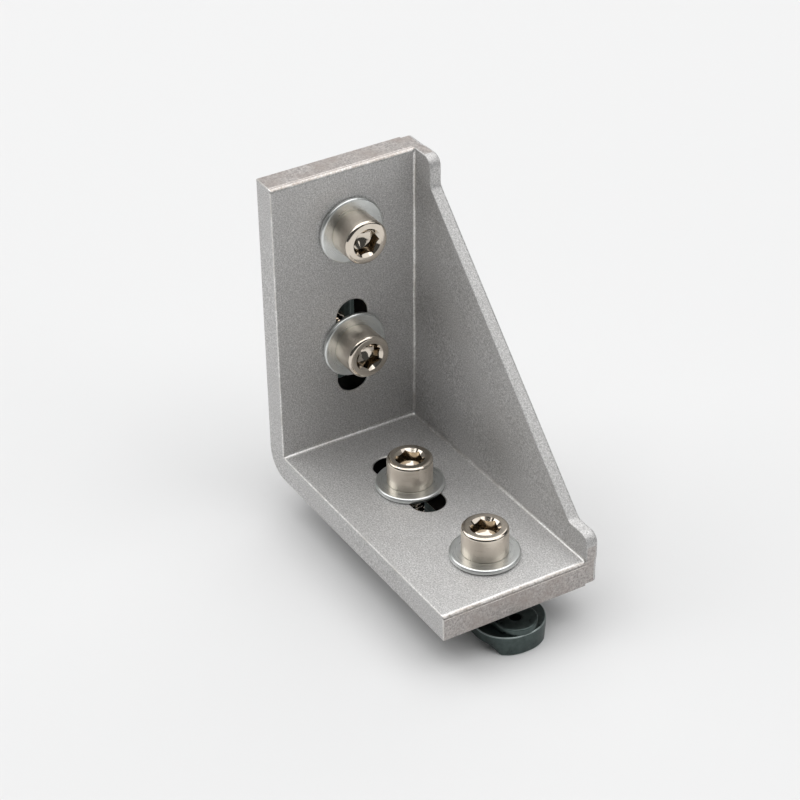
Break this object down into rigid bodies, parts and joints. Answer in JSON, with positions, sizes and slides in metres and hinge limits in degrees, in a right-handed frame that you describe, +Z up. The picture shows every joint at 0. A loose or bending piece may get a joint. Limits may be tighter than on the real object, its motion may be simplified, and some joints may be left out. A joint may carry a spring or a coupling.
{
  "type": "angle bracket",
  "caption": "Die-cast corner bracket with slotted legs and a triangular web, fitted with the cap screws, washers and slot nuts that clamp it to slotted profile rails.",
  "frame": {"origin": "the point where the two mounting faces would meet at the heel, on the middle plane of the holes", "axes": "+X along the lower leg away from the heel, +Y towards the web, +Z up the upright leg"},
  "size_m": [0.0695, 0.0312, 0.0671],
  "materials": {
    "cast_aluminium": "die-cast and grit-blasted, satin",
    "nickel_steel": "nickel-plated, polished",
    "zinc_steel": "zinc-plated, smooth",
    "nut_steel": "zinc-plated, tumbled"
  },
  "bodies": {
    "root": {"bracket": "cast_aluminium", "cap_screws": "nickel_steel", "washers": "zinc_steel", "slot_nuts": "nut_steel"}
  },
  "joints": []
}
